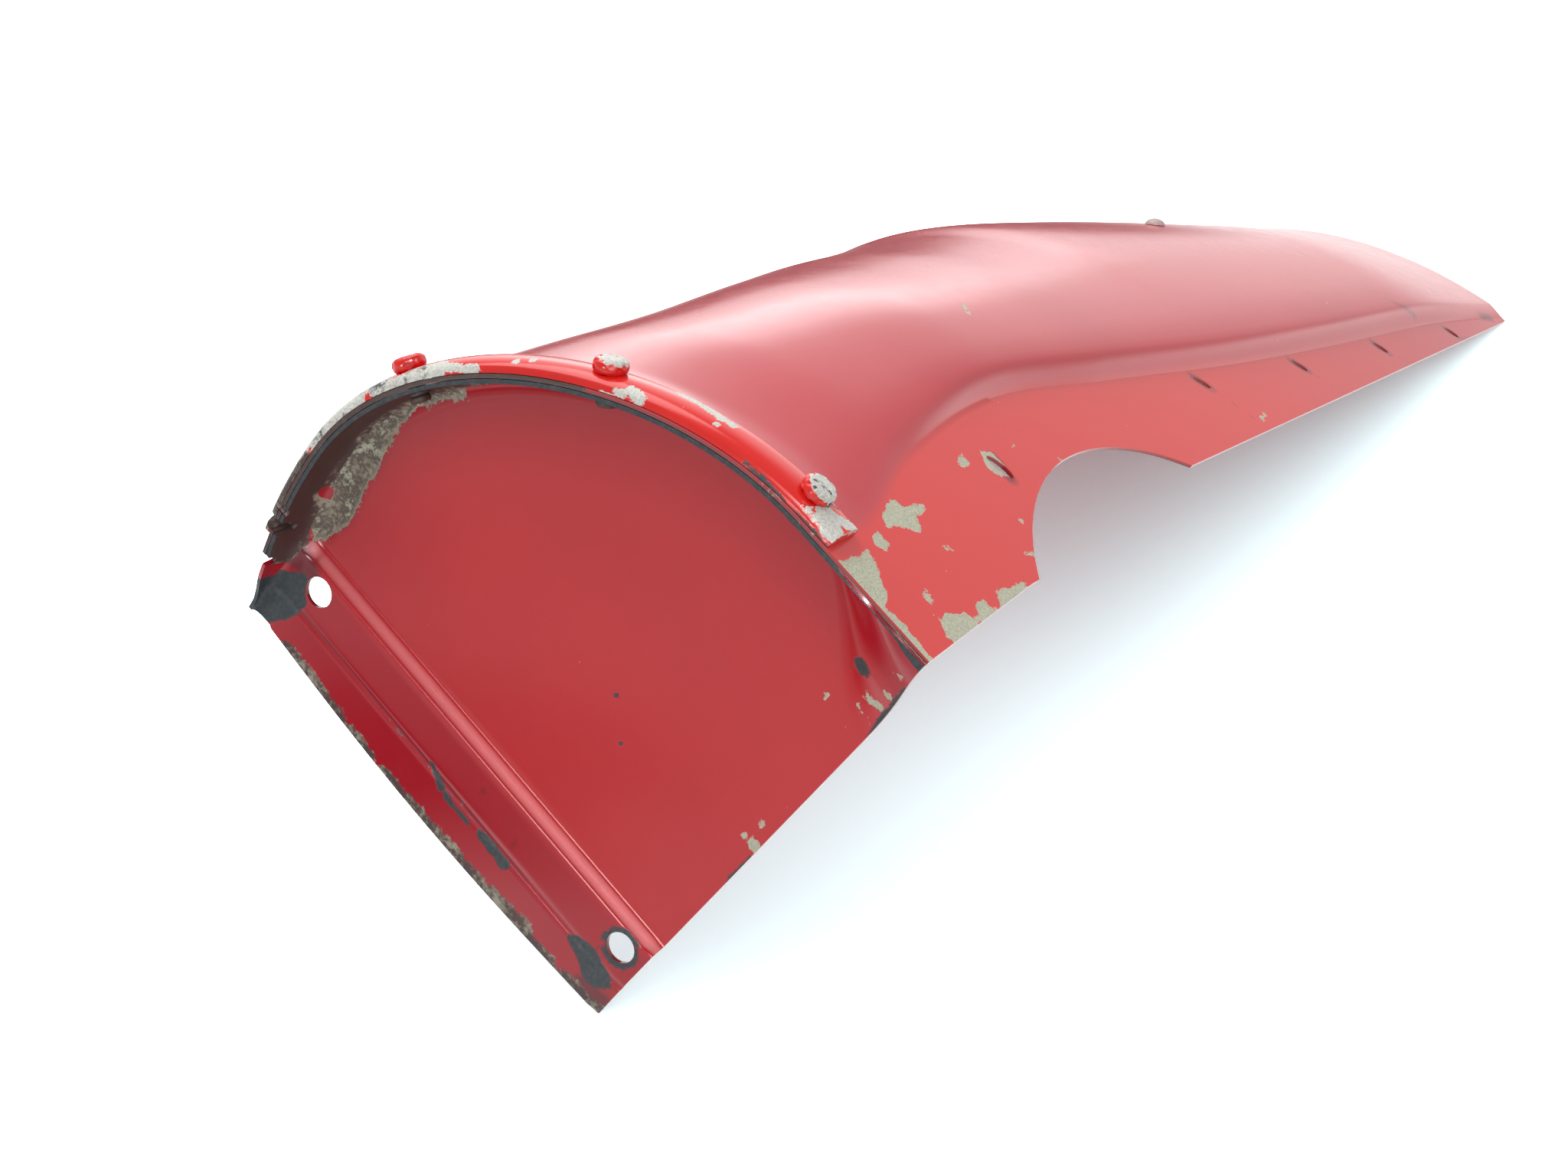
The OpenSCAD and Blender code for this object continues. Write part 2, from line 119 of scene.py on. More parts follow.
def section(z, c):
    # The outside of the sheet at the height z. Column c runs over flange, step, bow and wall. The
    # step is crisp at the flange and soft at the bow.
    z, c = np.broadcast_arrays(np.asarray(z, float), np.asarray(c, float))
    flange_x, rise, wall_x = along(FLANGE_AT, z), along(RISE_AT, z), along(WALL_AT, z)
    wall_y, back_y = along(BOW_END_AT, z), along(BACK_AT, z)
    bow_x, bow_y = flange_x + STEP_W, PLATE_D + rise
    on_flange = np.clip(c / FLANGE_C, 0, 1)
    on_step = np.clip((c - FLANGE_C) / STEP_C, 0, 1)
    on_bow = np.clip((c - BOW0) / BOW_C, 0, 1)
    on_wall = np.clip((c - BOW1) / WALL_C, 0, 1)
    x = free_edge(z) + (flange_x - free_edge(z)) * on_flange
    y = np.full_like(x, PLATE_D)
    x = np.where(c > FLANGE_C, flange_x + STEP_W * on_step, x)
    y = np.where(c > FLANGE_C, PLATE_D + rise * ease(on_step) ** STEP_POWER, y)
    round_x = bow(bow_x, bow_x + 0.47 * (wall_x - bow_x), wall_x, wall_x, on_bow)
    round_y = bow(bow_y, bow_y - along(DROOP_AT, z), wall_y + 0.5 * (bow_y - wall_y), wall_y,
                  on_bow)
    x, y = np.where(c > BOW0, round_x, x), np.where(c > BOW0, round_y, y)
    taper = (WALL_X - REAR_X) * np.clip(1 - z / 150, 0, 1)
    x = np.where(c > BOW1, wall_x - taper * on_wall * on_wall, x)
    y = np.where(c > BOW1, wall_y + (back_y - wall_y) * on_wall, y)
    return x, y


def top_edge(c):
    # Height of the cut top edge, which falls away over the bow and the wall.
    t = np.clip((c / COLS - 0.3) / 0.7, 0, 1)
    return SHELL_H - TOP_DROP * (1 - np.sqrt(1 - 0.98 * t * t)) / (1 - math.sqrt(0.02))


def deselect():
    for o in bpy.context.selected_objects:
        o.select_set(False)


def choose(o):
    deselect()
    o.select_set(True)
    bpy.context.view_layer.objects.active = o


def grid_piece(name, points):
    # A grid primitive whose vertices are laid on the given rows of points.
    rows, cols = points.shape[:2]
    deselect()
    bpy.ops.mesh.primitive_grid_add(x_subdivisions=cols - 1, y_subdivisions=rows - 1, size=1)
    o = bpy.context.object
    o.name = o.data.name = name
    flat = np.zeros(len(o.data.vertices) * 3)
    o.data.vertices.foreach_get("co", flat)
    flat = flat.reshape(-1, 3)
    c = np.rint((flat[:, 0] + 0.5) * (cols - 1)).astype(int)
    r = np.rint((flat[:, 1] + 0.5) * (rows - 1)).astype(int)
    o.data.vertices.foreach_set("co", points[r, c].ravel())
    o.data.update()
    return o


def apply_all(o):
    choose(o)
    for m in list(o.modifiers):
        bpy.ops.object.modifier_apply(modifier=m.name)


def punch(o, cutters):
    # All the cutters joined into one tool, which is taken away once it has cut.
    choose(cutters[0])
    for k in cutters:
        k.select_set(True)
    if len(cutters) > 1:
        bpy.ops.object.join()
    tool = bpy.context.object
    m = o.modifiers.new("punch", "BOOLEAN")
    m.operation, m.solver, m.object = "DIFFERENCE", "EXACT", tool
    apply_all(o)
    bpy.data.objects.remove(tool, do_unlink=True)


def thicken(o, thickness, offset=-1, even=True):
    m = o.modifiers.new("sheet", "SOLIDIFY")
    m.thickness, m.offset, m.use_even_offset = thickness, offset, even
    apply_all(o)


col_at = np.concatenate([np.linspace(0, FLANGE_C, 34)[:-1], np.linspace(FLANGE_C, BOW0, 11)[:-1],
                         np.linspace(BOW0, BOW1, 72)[:-1], np.linspace(BOW1, COLS, 12)])[::-1]
FOOT_SHARE = 0.28
row_at = np.concatenate([np.linspace(0, FOOT_SHARE, 98)[:-1], np.linspace(FOOT_SHARE, 1, 120)])
column, share = np.meshgrid(col_at, row_at)
Z = RIM_Z + (top_edge(column) - RIM_Z) * share
X, Y = section(Z, column)
KNEE_Z, KNEE_TRIM = 297.0, 0.19
X = X - KNEE_TRIM * np.exp(-((Z - KNEE_Z) / 60) ** 2) * ease((X - 150) / 12)
shell = grid_piece("shield_shell_sheet", np.stack([X, Y, Z], -1))
thicken(shell, SHEET)

SLOT_Z, SLOT_PITCH, SLOT_IN = 236.0, 78.0, 5.5
slots = [(float(along(FLANGE_AT, SLOT_Z + SLOT_PITCH * k)) - SLOT_IN, SLOT_Z + SLOT_PITCH * k)
         for k in range(4)]


def slot_cutter(x, z, tilt, half_long, half_wide):
    bpy.ops.mesh.primitive_cylinder_add(vertices=32, radius=1, depth=8)
    made = bpy.context.object
    made.data.transform(Matrix.Translation((x, PLATE_D, z))
                        @ Matrix.Rotation(math.radians(tilt), 4, "Y")
                        @ Matrix.Rotation(math.pi / 2, 4, "X")
                        @ Matrix.Diagonal((half_long, half_wide, 1, 1)))
    return made


bpy.ops.mesh.primitive_cylinder_add(vertices=256, radius=NOTCH_R, depth=10,
                                    location=(NOTCH_DEPTH - NOTCH_R, PLATE_D, NOTCH_Z),
                                    rotation=(math.pi / 2, 0, 0))
cutters = [bpy.context.object]
cutters += [slot_cutter(x, z, 40, 4.0, 1.45) for x, z in slots]
cutters.append(slot_cutter(FLANGE_W - 20, 85, 20, 4.9, 2.2))

# Rusted notches of the lower edge: place along the wall, half width and depth.
BITES = ((WALL_BACK + 10.2, 2.2, 7.5), (WALL_BACK - 1, 1.7, 4.5), (WALL_BACK + 16, 1.2, 1.4))


def punch_bites(o):
    for y, half, deep in BITES:
        bpy.ops.mesh.primitive_cylinder_add(vertices=9, radius=1, depth=60)
        bite = bpy.context.object
        bite.data.transform(Matrix.Translation((PLATE_W, y, RIM_Z))
                            @ Matrix.Diagonal((1, half, deep, 1))
                            @ Matrix.Rotation(math.pi / 2, 4, "Y"))
        punch(o, [bite])


punch(shell, cutters)
punch_bites(shell)


def points_of(o):
    co = np.zeros(len(o.data.vertices) * 3)
    o.data.vertices.foreach_get("co", co)
    normal = np.zeros(len(o.data.vertices) * 3)
    o.data.vertices.foreach_get("normal", normal)
    return co.reshape(-1, 3), normal.reshape(-1, 3)


# The shield lies on its rear corner, its tip and the outer wall's edge. The shell's own box in
# the frame tells where, and every piece is laid down by the same matrix, in metres.
rear_corner = Vector((0, 0, LIP_RISE - STRIP_DROP + SHEET))
flange_tip = Vector((0, PLATE_D - SHEET, SHELL_H))
wall_end = section(top_edge(COLS), np.array(COLS))
wall_corner = Vector((float(wall_end[0]), float(wall_end[1]), float(top_edge(COLS))))
low_node, high_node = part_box("shield_shell")
lie_x = (flange_tip - rear_corner).normalized()
lie_z = lie_x.cross(wall_corner - Vector((SHEET, 0, 0)) - rear_corner).normalized()
lie_y = lie_z.cross(lie_x)
turn = Matrix((lie_x, lie_y, lie_z)).to_4x4()
lay = turn @ Matrix.Translation(-rear_corner)
co = points_of(shell)[0] @ np.array(lay.to_3x3()).T + np.array(lay.translation)
mid = (co.min(0) + co.max(0)) / 2
want = (low_node + high_node) / 2 * 1000
lay = Matrix.Translation((want.x - mid[0], want.y - mid[1], 0)) @ lay
lay_in_metres = Matrix.Scale(0.001, 4) @ lay


def lay_down(o):
    o.data.transform(lay_in_metres)
    o.data.update()
    choose(o)
    bpy.ops.object.shade_smooth_by_angle(angle=math.radians(35))


# Fields of wear tell how far inside a worn place each point lies, in millimetres: peel is down to
# the primer, bare to the steel, then rust and soil. A worn place is an outline drawn on the sheet,
# or a stroke, in the frame of the foot. Painted shading is the share of the paint's third colour,
# which is painted light on the shell's flange and painted shade on the plate.
def stroke(points, marks):
    # Each mark is a line from one point to another, and a half width.
    best = np.full(len(points), -30.0)
    for *ends, r in marks:
        n = len(ends) // 2
        a, d = np.array(ends[:n]), np.array(ends[n:]) - np.array(ends[:n])
        t = np.clip(((points - a) @ d) / max(d @ d, 1e-6), 0, 1)
        best = np.maximum(best, r - np.linalg.norm(points - a - t[:, None] * d, axis=1))
    return best


def outline(points, shapes):
    best = np.full(len(points), -30.0)
    for shape in shapes:
        near, inside = np.full(len(points), 1e9), np.zeros(len(points), bool)
        for p, q in zip(shape, shape[1:] + shape[:1]):
            a, d = np.array(p, float), np.array(q, float) - np.array(p, float)
            t = np.clip(((points - a) @ d) / (d @ d), 0, 1)
            near = np.minimum(near, np.linalg.norm(points - a - t[:, None] * d, axis=1))
            cross = (a[1] > points[:, 1]) != (q[1] > points[:, 1])
            if d[1]:
                inside ^= cross & (points[:, 0] < a[0] + d[0] * (points[:, 1] - a[1]) / d[1])
        best = np.maximum(best, np.where(inside, near, -near))
    return best


def write_field(o, name, values):
    values = np.zeros(len(o.data.vertices)) + values
    at = o.data.attributes.new(name, "FLOAT", "POINT")
    at.data.foreach_set("value", np.clip(values, -30, 30).astype(np.float32))


# Bare patches and chips of the flange, as places (x, z) on its flat face.
co, normal = points_of(shell)
skin = (normal[:, 1] > -0.2) & (co[:, 1] > PLATE_D - 8) & (co[:, 0] < 95)
flat = co[:, [0, 2]]
peel = outline(flat, [
    [(38, 16), (41, 22), (41, 28), (39, 28), (36.5, 37), (34, 35), (34, 30), (29.5, 26.5),
     (32.5, 22), (34.5, 19), (34.5, 15)],
    [(34.5, 6.5), (35.7, 10.5), (31, 10), (30, 6.5), (32, 4.5)],
    [(33, -16), (31.5, -6), (32.2, 0.5), (27.7, -2), (23.8, -5), (20, -7.5), (17, -12), (17, -16)],
    [(17, 7.7), (15.3, 8.7), (12.3, 8), (12.4, 5), (14.6, 5.4)],
    [(7.5, 3), (7.8, 8.3), (6.4, 15.4), (0, 16), (0, 1), (3, 0)],
    [(6.7, 22), (7.2, 27), (4.4, 27), (0.5, 26), (0.5, 18), (3, 18.5)],
    [(7, 34.5), (6.4, 43.6), (4.7, 51), (1.5, 46), (1, 32), (3.4, 30)],
    [(43.6, 82), (42.7, 87.4), (37.3, 88.2), (33, 86.7), (34, 81.6), (38.3, 79)],
    [(45, 70.7), (45.3, 74.3), (41.6, 72.5), (40.2, 68), (42.5, 67.5)],
    [(42.8, 100.3), (41.5, 102.2), (40.3, 99)]])
peel = np.maximum(peel, stroke(flat, [
    (18, -14.5, 11, -13, 2.4), (88.5, 141, 84, 135.5, 0.9), (14.5, 257, 13.2, 251, 0.8),
    (11, -13, 1, -14, 2.0), (32, 117, 30.5, 116.5, 0.7),
    (21, 72, 20, 71, 0.6), (18, 23, 16.5, 21.5, 0.7), (3, 8, 3, 44, 0.6), (24, 30, 22, 33, 0.5),
    (12, 60, 10, 66, 0.5)]))
# Painted glints: specks of primer along the shell's lower edge, partly chips and partly standing
# in for glints of light on the edge.
rim_chips_and_glints = np.where((co[:, 2] < RIM_Z + 0.6) & (co[:, 0] > 40) & (co[:, 0] < 68), -0.4, -30)

# Dirt lies in each slot, and a thin dark line runs from each slot up to the edge.
soil = stroke(flat, [(x + 3, z - 2.4, x - 3, z + 2.4, 2.2) for x, z in slots]
              + [(x - 4, z + 4, float(free_edge(z + 14)), z + 14, 0.0) for x, z in slots]
              + [(37, 419.5, 28, 426, 0.1), (28, 426, 19, 443, 0.9), (40, 86, 33, 85, 2.6),
                 (7, 515, 4, 524, 2.0)])
soil = np.where(normal[:, 1] > -0.2, soil, -30)
write_field(shell, "soil", soil)
write_field(shell, "peel", np.maximum(np.where(skin, peel, -30), rim_chips_and_glints))
write_field(shell, "bare", -9.0)
low_edge = (co[:, 2] < RIM_Z + 0.8) & (co[:, 0] > 110)
eaten = (co[:, 2] < RIM_Z + 7) & (co[:, 0] > 140) & (co[:, 1] < 56)
write_field(shell, "rust", np.where(low_edge | eaten, 5, -9))
# Painted light: the flange's front face gets the lighter orange-red third colour, for the light it
# catches facing up. It fades out towards the top.
write_field(shell, "painted_shading", np.clip((along(FLANGE_AT, co[:, 2]) + 2.5 - co[:, 0]) / 4, 0, 1)
            * np.where(normal[:, 1] > 0, 1, 0) * np.clip((500 - co[:, 2]) / 250, 0, 1))
# Painted shade: the shell's inner face is marked to be painted dark brown.
write_field(shell, "inside", np.where(normal[:, 1] < -0.3, 1.0, 0.0))


# The paint is red enamel over grey-beige primer over steel. Chips follow the fields of wear and
# are broken up by fine noise; gloss falls where the paint is gone.
def link(tree, a, b):
    tree.links.new(a, b)


def maths(tree, op, a, b=None, c=None, clamp=False):
    node = tree.nodes.new("ShaderNodeMath")
    node.operation, node.use_clamp = op, clamp
    for i, v in enumerate((a, b, c)):
        if v is None:
            continue
        if isinstance(v, (int, float)):
            node.inputs[i].default_value = v
        else:
            link(tree, v, node.inputs[i])
    return node.outputs[0]


def blend_colour(tree, fac, a, b):
    node = tree.nodes.new("ShaderNodeMix")
    node.data_type = "RGBA"
    if isinstance(fac, (int, float)):
        node.inputs[0].default_value = fac
    else:
        link(tree, fac, node.inputs[0])
    for i, v in ((6, a), (7, b)):
        if isinstance(v, tuple):
            node.inputs[i].default_value = (*v, 1)
        else:
            link(tree, v, node.inputs[i])
    return node.outputs[2]


def noise_at(tree, where, scale, detail=4.0, rough=0.55):
    node = tree.nodes.new("ShaderNodeTexNoise")
    node.inputs["Scale"].default_value = scale
    node.inputs["Detail"].default_value = detail
    node.inputs["Roughness"].default_value = rough
    link(tree, where, node.inputs["Vector"])
    return node.outputs["Fac"]


def field(tree, name):
    node = tree.nodes.new("ShaderNodeAttribute")
    node.attribute_name = name
    return node.outputs["Fac"]


def enamel(name, red, deep, painted_shading_colour, primer=(0.50, 0.50, 0.37), shine=0.5):
    mat = bpy.data.materials.new(name)
    mat.use_nodes = True
    t = mat.node_tree
    bsdf = t.nodes["Principled BSDF"]
    where = t.nodes.new("ShaderNodeTexCoord").outputs["Object"]

    # Noise of four sizes: clouds in the red, two that make the chips ragged, and the grain.
    broad = noise_at(t, where, 14, 3)
    mid = noise_at(t, where, 160, 4)
    fine = noise_at(t, where, 620, 6, 0.65)
    tiny = noise_at(t, where, 1700, 3)
    ragged = maths(t, "ADD", maths(t, "MULTIPLY_ADD", fine, 3.2, -1.6),
                   maths(t, "MULTIPLY_ADD", mid, 3.0, -1.5))

    def worn_where(name, jitter, gain, offset=0.5):
        return maths(t, "MULTIPLY_ADD", maths(t, "ADD", field(t, name), jitter), gain, offset,
                     clamp=True)

    gone = worn_where("peel", ragged, 3.5)
    raw = worn_where("bare", ragged, 1.8)
    rust = worn_where("rust", ragged, 1.4)
    soil = worn_where("soil", maths(t, "MULTIPLY", ragged, 0.4), 0.45, 0.4)
    speck = maths(t, "SUBTRACT", maths(t, "MULTIPLY", fine, mid), 0.46)
    speck = maths(t, "MULTIPLY_ADD", speck, 30.0, 0.0, clamp=True)

    # Layers of colour from the enamel down: paint with its painted shading, dirt, primer, rust,
    # bare steel.
    paint = blend_colour(t, maths(t, "MULTIPLY_ADD", broad, 2.0, -0.5, clamp=True), red, deep)
    # Painted light and shade: the third colour, a lighter red on the shell's flange and a darker
    # crimson on the plate.
    paint = blend_colour(t, field(t, "painted_shading"), paint, painted_shading_colour)
    paint = blend_colour(t, maths(t, "MULTIPLY", soil, 0.8), paint, (0.10, 0.004, 0.012))
    under = blend_colour(t, maths(t, "MULTIPLY_ADD", tiny, 3.0, -1.0, clamp=True), primer,
                         tuple(0.62 * v for v in primer))
    col = blend_colour(t, speck, paint, tuple(0.8 * v for v in primer))
    col = blend_colour(t, gone, col, under)
    deep_rust = maths(t, "MULTIPLY_ADD", field(t, "rust"), 0.5, -1.6, clamp=True)
    beige = maths(t, "MULTIPLY_ADD", mid, 0.5, maths(t, "MULTIPLY", fine, 0.5))
    beige = maths(t, "MULTIPLY_ADD", beige, 8.0, -3.9, clamp=True)
    brown = blend_colour(t, maths(t, "MULTIPLY", beige, maths(t, "SUBTRACT", 1.0, deep_rust)),
                         (0.05, 0.024, 0.021), (0.30, 0.27, 0.20))
    col = blend_colour(t, rust, col, brown)
    dark = blend_colour(t, maths(t, "MULTIPLY_ADD", fine, 3.0, -1.3, clamp=True),
                        (0.011, 0.022, 0.029), (0.058, 0.052, 0.052))
    col = blend_colour(t, raw, col, dark)
    # Painted shade: the inner faces of the sheets, under the shell, are painted dark brown.
    col = blend_colour(t, maths(t, "MULTIPLY", field(t, "inside"), 0.75), col,
                       (0.08, 0.05, 0.045))
    link(t, col, bsdf.inputs["Base Color"])

    # Worn places are duller and lie a little lower than the enamel.
    worn = maths(t, "MAXIMUM", maths(t, "MAXIMUM", gone, rust), raw)
    rough = maths(t, "ADD", maths(t, "MULTIPLY_ADD", mid, 0.10, 0.13),
                  maths(t, "MULTIPLY", worn, 0.34))
    link(t, rough, bsdf.inputs["Roughness"])
    bsdf.inputs["Specular IOR Level"].default_value = shine
    height = maths(t, "ADD", maths(t, "MULTIPLY_ADD", worn, -1.0, 1.0),
                   maths(t, "MULTIPLY", tiny, 0.10))
    height = maths(t, "ADD", height, maths(t, "MULTIPLY", broad, 1.2))
    height = maths(t, "ADD", height, maths(t, "MULTIPLY", maths(t, "MULTIPLY", fine, worn), 1.2))
    bump = t.nodes.new("ShaderNodeBump")
    bump.inputs["Strength"].default_value = 0.5
    bump.inputs["Distance"].default_value = 0.00014
    link(t, height, bump.inputs["Height"])
    link(t, bump.outputs["Normal"], bsdf.inputs["Normal"])
    return mat


def coat(o, mat):
    o.data.materials.clear()
    o.data.materials.append(mat)


lay_down(shell)
# The shell's third colour is a lighter orange red: painted light on the flange.
shell_paint = enamel("shell_enamel", (0.50, 0.030, 0.042), (0.44, 0.025, 0.036),
                     (0.62, 0.026, 0.022), shine=0.47)
coat(shell, shell_paint)
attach(shell, "root")
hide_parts("shield_shell")

# Toe plate: a pressed pan of the same sheet that closes the foot of the shell. Its rim turns
# down inside the shell and the strap, its front margin slopes at the inner end, and the
# rear edge has a sunk strip with the two fixing holes and a lip.
BEND_W, SLOPE_W, SLOPE_REACH, RIM_H = 7.5, 38.0, 45.0, 14.0
LIP_BOW, CREASE_H, CREASE_W = 3.5, 0.6, 1.3
RIM_DIP, RIM_TRIM, FOOT_IN = 1.2, 0.65, 26.0
HOLE_R, HOLE_Y, HOLES_X = 4.5, LIP_W + 10.0, (8.0, PLATE_W - 14.5)
INSET = SHEET + NEST
DEEP = INSET + SHEET
LEVELS = [JOGGLE_Y + JOGGLE_W * (1 - k / 8) for k in range(9)]
LEVELS += [WALL_BACK, JOGGLE_Y - 6, JOGGLE_Y - 10]
LEVELS += [LIP_W + 3 - 0.5 * k for k in range(13)] + [LIP_W * 0.33, 0]
FAN_END = BOW1 + WALL_C * (WALL_Y - LEVELS[0]) / (WALL_Y - WALL_BACK)


def unit(v):
    return v / np.maximum(np.linalg.norm(v, axis=-1, keepdims=True), 1e-9)


def rim_point(c, out=0.0):
    # A point of the shell's outside at the rim, moved outwards along its normal.
    a = np.stack(section(RIM_Z, c - 0.01), -1)
    b = np.stack(section(RIM_Z, c + 0.01), -1)
    p = np.stack(section(RIM_Z, c), -1)
    d = unit(b - a)
    return p + np.asarray(out)[..., None] * np.stack([-d[..., 1], d[..., 0]], -1)


def pressed_z(x, y):
    # Height of the pressed rear strip: a joggle down, the flat strip, and the lip's crease.
    ends = ease((x - 0.5) / 4) * ease((PLATE_W - 3 - x) / 6)
    step = -STRIP_DROP * ease((JOGGLE_Y + JOGGLE_W - y) / JOGGLE_W)
    lip = LIP_RISE * np.clip(1 - y / LIP_W, 0, 1)
    crease = CREASE_H * np.exp(-((y - LIP_W) / CREASE_W) ** 2)
    return step * (0.8 + 0.2 * ends) + lip + crease


def bend_ends(tight, low, high):
    # Control points, as (inset, height), from the rim's end up to the flat: a long slope where
    # tight is 0 and a close bend where it is 1.
    zero = np.zeros_like(tight)
    return ((zero, low), (10 * (1 - tight), low + (high - low) * 0.85 * tight),
            (0.48 * SLOPE_W * (1 - tight) + 0.2 * BEND_W * tight, high),
            (SLOPE_W * (1 - tight) + BEND_W * tight, high))


def bend_at(ends, t):
    insets, heights = zip(*ends)
    return bow(*insets, t), bow(*heights, t)


def rim_drop(y):
    trim = RIM_TRIM * np.exp(-((y - 21) / 6) ** 2)
    return RIM_H * (0.25 + 0.75 * ease(y / WALL_BACK)) - trim


def side_x(y):
    wall = WALL_X - (WALL_X - REAR_X) * ((WALL_Y - y) / (WALL_Y - WALL_BACK)) ** 2 - DEEP
    return np.where(y >= WALL_BACK, wall,
                    PLATE_W - SHEET + (REAR_X - DEEP - PLATE_W + SHEET) * y / WALL_BACK)


# The front part is a fan of rows from the rim to one straight line; the rear part joins it there.
fan_cols, bend_rows, flat_rows = 150, 18, 46
fan_at = np.linspace(0, FAN_END, fan_cols + 1)
base = rim_point(fan_at)
tight = ease(base[:, 0] / SLOPE_REACH)
rim = rim_point(fan_at, -(INSET + (DEEP - INSET) * tight) - 0.25 * np.sin(np.pi * tight))
turn = ease((fan_at - BOW1) / (FAN_END - BOW1))[:, None]
inward = unit((1 - turn) * (rim_point(fan_at, -1.0) - base) + turn * np.array([-1.0, 0]))
ends = bend_ends(tight, -rim_drop(rim[:, 1]) - (1 - tight) * RIM_DIP, np.zeros_like(tight))
foot_end = float(side_x(np.array(LEVELS[0]))) - BEND_W - FOOT_IN
foot = np.stack([foot_end * np.linspace(0, 1, fan_cols + 1) ** 0.9,
                 np.full(fan_cols + 1, LEVELS[0])], -1)
fan = []
for r in range(bend_rows + 1):
    inset, z = bend_at(ends, r / bend_rows)
    bend = rim + inset[:, None] * inward
    fan.append(np.stack([bend[:, 0], bend[:, 1], z], -1))
for r in range(1, flat_rows + 1):
    row = bend + (foot - bend) * r / flat_rows
    fan.append(np.stack([row[:, 0], row[:, 1], 0 * row[:, 0]], -1))
plate = grid_piece("toe_plate_sheet", np.array(fan))

rear = [np.concatenate([fan[-1], np.array(fan)[::-1][1:, -1]])]
for y in LEVELS[1:]:
    last = float(side_x(np.array(y))) - BEND_W
    beyond = (last - foot_end) * np.arange(1, flat_rows + 1) / flat_rows
    x = np.concatenate([foot[:, 0], foot_end + beyond])
    bowed = y - LIP_BOW * np.sin(np.pi * np.clip(x / PLATE_W, 0, 1)) * max(0, 1 - y / LIP_W) ** 2
    row = np.stack([x, bowed, pressed_z(x, np.full_like(x, y))], -1)
    one = np.ones(bend_rows)
    high = float(pressed_z(np.array(last), np.array(y)))
    inset, z = bend_at(bend_ends(one, -float(rim_drop(np.array(y))) * one, high * one),
                       np.arange(bend_rows - 1, -1, -1) / bend_rows)
    side = np.stack([float(side_x(np.array(y))) - inset, y + 0 * inset, z], -1)
    rear.append(np.concatenate([row, side]))
rear_part = grid_piece("rear_part", np.array(rear))
choose(plate)
rear_part.select_set(True)
bpy.ops.object.join()


def weld(o, close=False):
    choose(o)
    bpy.ops.object.mode_set(mode="EDIT")
    bpy.ops.mesh.select_all(action="SELECT")
    bpy.ops.mesh.remove_doubles(threshold=0.001)
    if close:
        bpy.ops.mesh.fill_holes(sides=0)
    bpy.ops.mesh.normals_make_consistent(inside=False)
    bpy.ops.object.mode_set(mode="OBJECT")


weld(plate)
if sum(f.normal.z * f.area for f in plate.data.polygons) < 0:
    plate.data.flip_normals()
thicken(plate, SHEET, offset=1, even=False)
cutters = []
for x in HOLES_X:
    bpy.ops.mesh.primitive_cylinder_add(vertices=64, radius=HOLE_R, depth=12,
                                        location=(x, HOLE_Y, -2))
    cutters.append(bpy.context.object)
punch(plate, cutters)
punch_bites(plate)

# Bare patches and chips of the underside, as places (x, y). One dot of paint is left beside the
# large bare patch at the outer corner.
co, normal = points_of(plate)
skin = normal[:, 2] < 0.3
PAINT_LEFT = np.array([155.6, 47.6, -2.6])
from_bump = np.linalg.norm(co - PAINT_LEFT, axis=1)
flat = co[:, :2]
peel = outline(flat, [
    [(140, 102.5), (144.5, 98), (149, 88.5), (151, 78), (148.5, 68), (148, 57), (145.5, 46),
     (148, 36), (151, 32), (156, 38), (158, 58), (157.5, 72), (155.5, 84), (151, 95), (143, 106)]])
peel = np.maximum(peel, stroke(flat, [
    (3.8, 150.5, 3, 152, 0.8), (7.2, 134.5, 6, 135, 1.0), (3.3, 142, 2, 141, 1.1),
    (4.2, 135, 2, 136, 1.2), (15, 124.7, 15, 124, 0.8), (7, 130.5, 7, 129, 0.6),
    (4, 130, 4, 128.5, 0.9), (18.5, 113, 18.3, 112, 0.5), (5, 77, 4, 77.5, 1.0),
    (1.5, 77.5, 1, 76, 1.2), (4.4, 84, 4.2, 83, 0.9), (1, 128, 1, 130, 1.2)]))
peel = np.where(from_bump < 2.6, -4, peel)
edge_y = flat[:, 1] + LIP_BOW * np.sin(np.pi * np.clip(flat[:, 0] / PLATE_W, 0, 1))
lip_worn = stroke(np.stack([flat[:, 0], edge_y], -1), [
    (138, 0, 112, 0.8, 3.0), (108, 0, 98, 0, 2.2), (92, 0, 84, 0, 2.6), (82, 0, 66, 0.6, 3.2),
    (66, 0.4, 50, 0.6, 3.4), (46, 0, 33, 1.2, 4.0), (30, 0, 20, 0, 2.8), (14, 0, 0, 0, 3.2)])
write_field(plate, "peel", np.where(skin, peel, -30))
bare = outline(flat, [
    [(21.6, 11.5), (18.8, 14.6), (13, 16), (8, 14), (3, 13), (2.6, 10), (5, 5.5), (9, 5),
     (13.3, 7.2)],
    [(158, -1), (156, 12), (150, 21), (145, 24), (143, 19), (140, 17), (141, 12), (143, 6),
     (148, -1)],
    [(15.9, 138), (14.8, 141), (10.2, 142), (10.1, 138.4), (12.8, 137)]])
bare = np.maximum(bare, stroke(flat, [
    (82, 13.6, 76, 11, 1.2), (73, 10, 63, 9.4, 1.0), (58, 10.7, 47.6, 10.5, 1.9),
    (68.5, 12.4, 68, 13, 0.7), (55.8, 75.8, 55.6, 75.4, 0.9), (46.3, 66.7, 46.3, 66, 0.5),
    (57.8, 90, 57.8, 89, 0.45), (46, 54.8, 46, 54.4, 0.6), (0, 126, 0, 150, 1.0),
    (0, 60, 0, 74, 0.5), (100, 12, 94, 12.4, 0.5)]))
